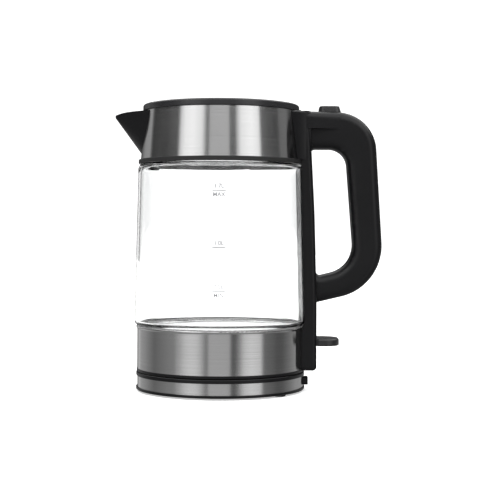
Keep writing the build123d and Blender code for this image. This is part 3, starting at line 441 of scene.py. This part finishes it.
def smooth_shape(mesh, angle):
    """Smooth shading with its creases kept."""
    shape = bmesh.new()
    shape.from_mesh(mesh)
    bmesh.ops.remove_doubles(shape, verts=shape.verts, dist=WELD_DISTANCE)
    bmesh.ops.dissolve_degenerate(shape, dist=SHORT_EDGE, edges=shape.edges)
    for face in shape.faces:
        face.smooth = True
    for edge in shape.edges:
        if len(edge.link_faces) == 2:
            edge.smooth = edge.calc_face_angle(0.0) < angle
        else:
            edge.smooth = False
    shape.to_mesh(mesh)
    shape.free()


def finished(name, material, angle=CREASE_ANGLE):
    """Dresses a CAD node: a smooth-shaded copy with its finish stands for it."""
    source = frame["nodes"][name]
    mesh = source.data.copy()
    mesh.name = name + "_finished"
    if "custom_normal" in mesh.attributes:
        mesh.attributes.remove(mesh.attributes["custom_normal"])
    smooth_shape(mesh, angle)
    mesh.materials.clear()
    mesh.materials.append(material)
    piece = bpy.data.objects.new(name + "_finished", mesh)
    bpy.context.scene.collection.objects.link(piece)
    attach(piece, source["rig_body"])
    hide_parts(name)
    source.data.materials.clear()
    source.data.materials.append(material)
    return piece


class KETTLE_OT_power_base(bpy.types.Operator):
    """Finishes the power base: its two covers, the steel band, the coupler and the cord inlet"""

    bl_idname = "kettle.power_base"
    bl_label = "Power Base"

    def execute(self, context):
        for name in ("base_bottom_cover", "base_top_cover", "base_coupler", "cord_inlet"):
            finished(name, base_plastic())
        finished("base_steel_band", brushed_steel())
        finished("base_feet", black_rubber())
        finished("base_contacts", brass())
        return {"FINISHED"}


class KETTLE_OT_bottom(bpy.types.Operator):
    """Finishes the kettle's bottom: black ring, lower steel band, heated plate and its seal"""

    bl_idname = "kettle.bottom"
    bl_label = "Kettle Bottom"

    def execute(self, context):
        finished("bottom_cover", base_plastic())
        finished("lower_band", brushed_steel())
        finished("heater_plate", plate_steel())
        finished("lower_seal", silicone())
        finished("heating_element", zinc_steel())
        return {"FINISHED"}


class KETTLE_OT_switchgear(bpy.types.Operator):
    """Finishes the coupler, the control unit and the trip lever inside the bottom"""

    bl_idname = "kettle.switchgear"
    bl_label = "Switchgear"

    def execute(self, context):
        for name in ("kettle_coupler", "controller", "trip_lever"):
            finished(name, inner_plastic())
        for name in ("kettle_centre_pin", "steam_bimetal"):
            finished(name, brass())
        return {"FINISHED"}


class KETTLE_OT_glass(bpy.types.Operator):
    """Finishes the glass vessel and its gasket"""

    bl_idname = "kettle.glass"
    bl_label = "Glass Vessel"

    def execute(self, context):
        glass = glass_material("Clear Glass", finish_settings().glass_tint)
        finished("glass_body", glass, angle=GLASS_CREASE_ANGLE)
        finished("glass_gasket", black_rubber())
        return {"FINISHED"}


WALL_FOOT = 5.5 * MM            # the glass's straight wall starts this far above its lower edge
WALL_HEAD = 13 * MM             # and ends this far below its upper edge,
GASKET_STEP = 0.3 * MM          # where it is this much wider than the gasket
PRINT_LIFT = 0.06 * MM          # the print stands off the glass
LETTER_WEIGHT = 0.07 * MM       # the letters' strokes are widened by this
WORD_STEP = 0.75                # from a line to its words, in letter heights
LINE_SEGMENTS = 12


def wrap_round_glass(mesh):
    """Bends a flat print, drawn in XZ, round the straight wall of the glass."""
    low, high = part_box("glass_body")
    low_z = low.z + WALL_FOOT
    high_z = high.z - WALL_HEAD
    narrowing = high.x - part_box("glass_gasket")[1].x - GASKET_STEP
    for vertex in mesh.vertices:
        x, z = vertex.co.x, vertex.co.z
        r = high.x - narrowing * (z - low_z) / (high_z - low_z) + PRINT_LIFT
        vertex.co = (r * sin(x / r), -r * cos(x / r), z)


def flat_line(z, width, height):
    """A level line as a flat mesh in XZ."""
    line = bmesh.new()
    bmesh.ops.create_grid(line, x_segments=LINE_SEGMENTS, y_segments=1, size=0.5)
    bmesh.ops.scale(line, verts=line.verts, vec=(width, height, 1))
    bmesh.ops.rotate(line, verts=line.verts, matrix=Matrix.Rotation(pi / 2, 3, "X"))
    bmesh.ops.translate(line, verts=line.verts, vec=(0, 0, z))
    mesh = bpy.data.meshes.new("level_line")
    line.to_mesh(mesh)
    line.free()
    return mesh


def flat_word(context, word, z, size):
    """A word as a flat mesh in XZ."""
    text = bpy.data.curves.new("level_text", "FONT")
    text.body = word
    text.size = size
    text.align_x = "CENTER"
    text.align_y = "CENTER"
    text.offset = LETTER_WEIGHT
    drawn = bpy.data.objects.new("level_text", text)
    context.scene.collection.objects.link(drawn)
    context.view_layer.update()
    mesh = bpy.data.meshes.new_from_object(drawn)
    bpy.data.objects.remove(drawn)
    mesh.transform(Matrix.Translation((0, 0, z)) @ Matrix.Rotation(pi / 2, 4, "X"))
    return mesh


class KETTLE_OT_level_marks(bpy.types.Operator):
    """Prints the level lines and their numbers on the glass"""

    bl_idname = "kettle.level_marks"
    bl_label = "Level Marks"

    def execute(self, context):
        marks = context.scene.kettle_marks
        ink = plastic_material("Level Ink", marks.ink_colour,
                               roughness=0.5, specular=0.2, grain=3000.0)
        scale = (
            (marks.top_z, ("1.7L", "MAX")),
            (marks.middle_z, ("1.0L",)),
            (marks.low_z, ("0.5L", "MIN")),
        )
        parts = []
        for z, words in scale:
            parts.append(flat_line(z, marks.line_width, marks.line_height))
            # the first word stands over its line, the second under it
            for step, word in zip((WORD_STEP, -WORD_STEP), words):
                parts.append(flat_word(context, word, z + marks.text_height * step,
                                       marks.text_height))
        joined = bmesh.new()
        for mesh in parts:
            joined.from_mesh(mesh)
            bpy.data.meshes.remove(mesh)
        print_mesh = bpy.data.meshes.new("level_marks")
        joined.to_mesh(print_mesh)
        joined.free()
        wrap_round_glass(print_mesh)
        print_mesh.materials.append(ink)
        piece = bpy.data.objects.new("level_marks", print_mesh)
        context.scene.collection.objects.link(piece)
        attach(piece, "kettle")
        return {"FINISHED"}


class KETTLE_OT_collar(bpy.types.Operator):
    """Finishes the steel collar"""

    bl_idname = "kettle.collar"
    bl_label = "Collar"

    def execute(self, context):
        finished("collar", brushed_steel())
        return {"FINISHED"}


class KETTLE_OT_spout(bpy.types.Operator):
    """Finishes the spout, the mouth ring and the filter"""

    bl_idname = "kettle.spout"
    bl_label = "Spout"

    def execute(self, context):
        for name in ("spout", "mouth_ring", "filter_frame"):
            finished(name, black_plastic())
        mesh_steel = steel_material("Filter Mesh", (0.4, 0.4, 0.4), roughness=0.4)
        finished("filter_mesh", mesh_steel)
        return {"FINISHED"}


class KETTLE_OT_lid(bpy.types.Operator):
    """Finishes the lid, its inner plate and its seal"""

    bl_idname = "kettle.lid"
    bl_label = "Lid"

    def execute(self, context):
        finished("lid_cover", lid_plastic())
        finished("lid_inner_plate", plate_steel())
        finished("lid_seal", silicone())
        return {"FINISHED"}


class KETTLE_OT_handle(bpy.types.Operator):
    """Finishes the handle and its cover"""

    bl_idname = "kettle.handle"
    bl_label = "Handle"

    def execute(self, context):
        for name in ("handle_frame", "handle_cover"):
            finished(name, black_plastic())
        finished("steam_tube", silicone())
        return {"FINISHED"}


class KETTLE_OT_controls(bpy.types.Operator):
    """Finishes the lid button, the latch and the switch paddle"""

    bl_idname = "kettle.controls"
    bl_label = "Button, Latch and Switch"

    def execute(self, context):
        for name in ("lid_button", "switch_paddle"):
            finished(name, lid_plastic())
        finished("lid_latch", inner_plastic())
        return {"FINISHED"}


class KETTLE_OT_fasteners(bpy.types.Operator):
    """Finishes the screws, pins and springs"""

    bl_idname = "kettle.fasteners"
    bl_label = "Fasteners and Springs"

    def execute(self, context):
        for name in ("base_screws", "bottom_screws", "handle_screws", "hinge_pin", "switch_pin",
                     "trip_pin", "lid_spring"):
            finished(name, zinc_steel())
        button_spring = finished("button_spring", zinc_steel())
        latch_spring = finished("latch_spring", zinc_steel())
        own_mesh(button_spring)
        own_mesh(latch_spring)
        return {"FINISHED"}


# ---- stage --------------------------------------------------------------------------------------

# Brightness of the studio round the kettle: degrees from the camera's side towards the handle's,
# and value. Upper bands stand above eye level, lower bands below it.
UPPER_BANDS = (
    (-164, 0.04), (-151, 0.17), (-139, 0.36), (-123, 0.42), (-119, 0.15), (-115, 0.05),
    (-98, 0.07), (-86, 0.05), (-66, 0.09), (-63, 0.20), (-60, 0.95), (-53, 1.35), (-41, 1.45),
    (-27, 1.15), (-23, 0.63), (-20, 0.15), (-17, 0.20), (-15, 0.52), (12, 0.53), (14, 0.10),
    (22, 0.10), (24, 0.55), (30, 1.25), (46, 1.48), (58, 1.28), (61, 0.16), (70, 0.10),
    (88, 0.07), (93, 0.09), (96, 0.19), (113, 0.23), (125, 0.10),
)
LOWER_BANDS = (
    (-165, 0.20), (-155, 0.40), (-149, 0.62), (-140, 0.43), (-115, 0.30), (-101, 0.19),
    (-74, 0.31), (-56, 0.36), (-53, 0.46), (-48, 0.60), (-40, 0.70), (-33, 0.70), (-28, 0.59),
    (-22, 0.42), (-18, 0.28), (-16, 0.27), (-14, 0.52), (14, 0.50), (16, 0.17), (19, 0.12),
    (25, 0.15), (29, 0.30), (34, 0.60), (43, 0.75), (58, 0.67), (62, 0.30), (64, 0.20),
    (78, 0.16), (85, 0.12), (97, 0.12), (110, 0.22), (128, 0.40),
)

EYE_LEVEL = (-0.06, 0.05)       # the lower bands give way to the upper, as sines of the height
OVERHEAD = (0.55, 0.85)         # the bands give way to an even grey
OVERHEAD_VALUE = 0.3
WHITE_VALUE = 1.35              # the white backdrop
FLANK_VALUE = 0.06              # the dark flanks beside it
FLANK_START = (0.25, 0.35)      # the flanks' range, as cosines from straight back
FLANK_END = (0.86, 0.90)

TABLE_GREYS = (0.85, 0.87)
TABLE_GLOW = 0.5                # keeps the table white away from the light
TABLE_HALF_WIDTH = 6.0
LAMP_SPREAD = radians(120)
SENSOR_WIDTH = 36.0             # millimetres, as the lens
CAMERA_SHIFT = (0.0044, -0.0364)
CAMERA_ROLL = -0.0042
CAMERA_REACH = 50.0


def band_values(tree, share, bands):
    """A grey value that changes with the direction round the kettle."""
    ramp = tree.nodes.new("ShaderNodeValToRGB")
    peak = max(value for _, value in bands)
    points = ramp.color_ramp.elements
    while len(points) < len(bands):
        points.new(0.5)
    for point, (degrees_round, value) in zip(points, bands):
        point.position = degrees_round / 360 + 0.5
        point.color = (value / peak, value / peak, value / peak, 1)
    tree.links.new(share, ramp.inputs[0])
    return maths(tree, "MULTIPLY", ramp.outputs[0], peak)


def blend_values(tree, factor, low, high):
    """low where factor is 0 and high where it is 1; each is a number or a socket."""
    mix = node(tree, "ShaderNodeMix", data_type="FLOAT")
    sockets = (mix.inputs["Factor"], *(mix.inputs[i] for i in MIX_FLOATS))
    for socket, value in zip(sockets, (factor, low, high)):
        if isinstance(value, bpy.types.NodeSocket):
            tree.links.new(value, socket)
        else:
            socket.default_value = value
    return mix.outputs[0]


def smooth_step(tree, value, start, end):
    """Rises smoothly from 0 at start to 1 at end."""
    step = node(tree, "ShaderNodeMapRange", interpolation_type="SMOOTHSTEP")
    step.inputs["From Min"].default_value = start
    step.inputs["From Max"].default_value = end
    tree.links.new(value, step.inputs["Value"])
    return step.outputs[0]


def studio_world():
    """Bands of light and dark round the kettle, in front of a white backdrop."""
    world = bpy.data.worlds.new("Studio")
    world.use_nodes = True
    tree = world.node_tree
    background = tree.nodes["Background"]
    background.inputs["Color"].default_value = (1, 1, 1, 1)
    place = tree.nodes.new("ShaderNodeTexCoord")
    split = tree.nodes.new("ShaderNodeSeparateXYZ")
    tree.links.new(place.outputs["Generated"], split.inputs[0])
    turn = maths(tree, "ARCTAN2", split.outputs[0], maths(tree, "MULTIPLY", split.outputs[1], -1.0))
    share = maths(tree, "ADD", maths(tree, "MULTIPLY", turn, 0.5 / pi), 0.5)
    bands = blend_values(
        tree, smooth_step(tree, split.outputs[2], *EYE_LEVEL),
        band_values(tree, share, LOWER_BANDS), band_values(tree, share, UPPER_BANDS))
    # straight up and straight down the studio is an even grey
    height = maths(tree, "ABSOLUTE", split.outputs[2])
    level = blend_values(tree, smooth_step(tree, height, *OVERHEAD), bands, OVERHEAD_VALUE)
    # seen directly the backdrop is white; through the glass it has dark flanks, which draw
    # the edges of the glass
    path = tree.nodes.new("ShaderNodeLightPath")
    flank = maths(tree, "SUBTRACT", smooth_step(tree, split.outputs[1], *FLANK_START),
                  smooth_step(tree, split.outputs[1], *FLANK_END))
    backdrop = blend_values(tree, flank, WHITE_VALUE, FLANK_VALUE)
    through = blend_values(tree, path.outputs["Is Transmission Ray"], level, backdrop)
    seen = blend_values(tree, path.outputs["Is Camera Ray"], through, WHITE_VALUE)
    tree.links.new(seen, background.inputs["Strength"])
    return world


def table_material():
    """The pale, faintly glowing table."""
    if "Pale Table" in bpy.data.materials:
        return bpy.data.materials["Pale Table"]
    group = shared_group("Moulded Grain", moulded_grain_group)
    material, tree, shader, placed = start_material(
        "Pale Table", group, Grain=60.0, Marks=3.0)
    shader.inputs["Specular IOR Level"].default_value = 0.2
    dark, light = ((grey, grey, grey) for grey in TABLE_GREYS)
    tint(tree, placed.outputs["Mark"], dark, light, shader.inputs["Base Color"])
    vary(tree, placed.outputs["Grain"], 0.55, 0.65, shader.inputs["Roughness"])
    shader.inputs["Emission Color"].default_value = (1, 1, 1, 1)
    shader.inputs["Emission Strength"].default_value = TABLE_GLOW
    return material


def add_top_light(strength):
    """A wide soft light from straight above."""
    lamp = bpy.data.lights.new("top_light", "SUN")
    lamp.energy = strength
    lamp.angle = LAMP_SPREAD
    placed = bpy.data.objects.new("top_light", lamp)
    bpy.context.scene.collection.objects.link(placed)


class KETTLE_OT_stage(bpy.types.Operator):
    """Adds the table, the studio light and the camera"""

    bl_idname = "kettle.stage"
    bl_label = "Stage"

    def execute(self, context):
        stage = context.scene.kettle_stage
        shape = bmesh.new()
        bmesh.ops.create_grid(shape, x_segments=1, y_segments=1, size=TABLE_HALF_WIDTH)
        mesh = bpy.data.meshes.new("table")
        shape.to_mesh(mesh)
        shape.free()
        mesh.materials.append(table_material())
        table = bpy.data.objects.new("table", mesh)
        table.visible_glossy = False
        context.scene.collection.objects.link(table)

        context.scene.world = studio_world()
        add_top_light(stage.top_light)

        camera = bpy.data.cameras.new("camera")
        camera.lens = stage.lens
        camera.sensor_width = SENSOR_WIDTH
        camera.shift_x, camera.shift_y = CAMERA_SHIFT
        camera.clip_end = CAMERA_REACH
        placed = bpy.data.objects.new("camera", camera)
        placed.location = (stage.side_step, -stage.distance, stage.eye_height)
        placed.rotation_euler = (pi / 2, CAMERA_ROLL, 0)
        context.scene.collection.objects.link(placed)
        context.scene.camera = placed
        context.scene.view_settings.view_transform = "Standard"
        return {"FINISHED"}


PIECE_OPERATORS = (
    KETTLE_OT_power_base,
    KETTLE_OT_bottom,
    KETTLE_OT_switchgear,
    KETTLE_OT_glass,
    KETTLE_OT_level_marks,
    KETTLE_OT_collar,
    KETTLE_OT_spout,
    KETTLE_OT_lid,
    KETTLE_OT_handle,
    KETTLE_OT_controls,
    KETTLE_OT_fasteners,
    KETTLE_OT_stage,
)


class KETTLE_PT_panel(bpy.types.Panel):
    """Lists the kettle's settings and pieces"""

    bl_idname = "KETTLE_PT_panel"
    bl_label = "Glass Kettle"
    bl_space_type = "VIEW_3D"
    bl_region_type = "UI"
    bl_category = "Kettle"

    def draw(self, context):
        scene = context.scene
        for settings in (scene.kettle_finish, scene.kettle_marks, scene.kettle_stage):
            box = self.layout.box()
            for key in settings.bl_rna.properties.keys():
                if key not in {"rna_type", "name"}:
                    box.prop(settings, key)
        column = self.layout.column(align=True)
        for operator in PIECE_OPERATORS:
            column.operator(operator.bl_idname)


CLASSES = (
    KettleFinishSettings,
    KettleMarkSettings,
    KettleStageSettings,
    *PIECE_OPERATORS,
    KETTLE_PT_panel,
)


def register():
    for cls in CLASSES:
        bpy.utils.register_class(cls)
    bpy.types.Scene.kettle_finish = bpy.props.PointerProperty(type=KettleFinishSettings)
    bpy.types.Scene.kettle_marks = bpy.props.PointerProperty(type=KettleMarkSettings)
    bpy.types.Scene.kettle_stage = bpy.props.PointerProperty(type=KettleStageSettings)


def unregister():
    del bpy.types.Scene.kettle_finish
    del bpy.types.Scene.kettle_marks
    del bpy.types.Scene.kettle_stage
    for cls in reversed(CLASSES):
        bpy.utils.unregister_class(cls)


def main():
    register()
    for operator in PIECE_OPERATORS:
        group, name = operator.bl_idname.split(".")
        getattr(getattr(bpy.ops, group), name)()


if __name__ == "__main__":
    main()
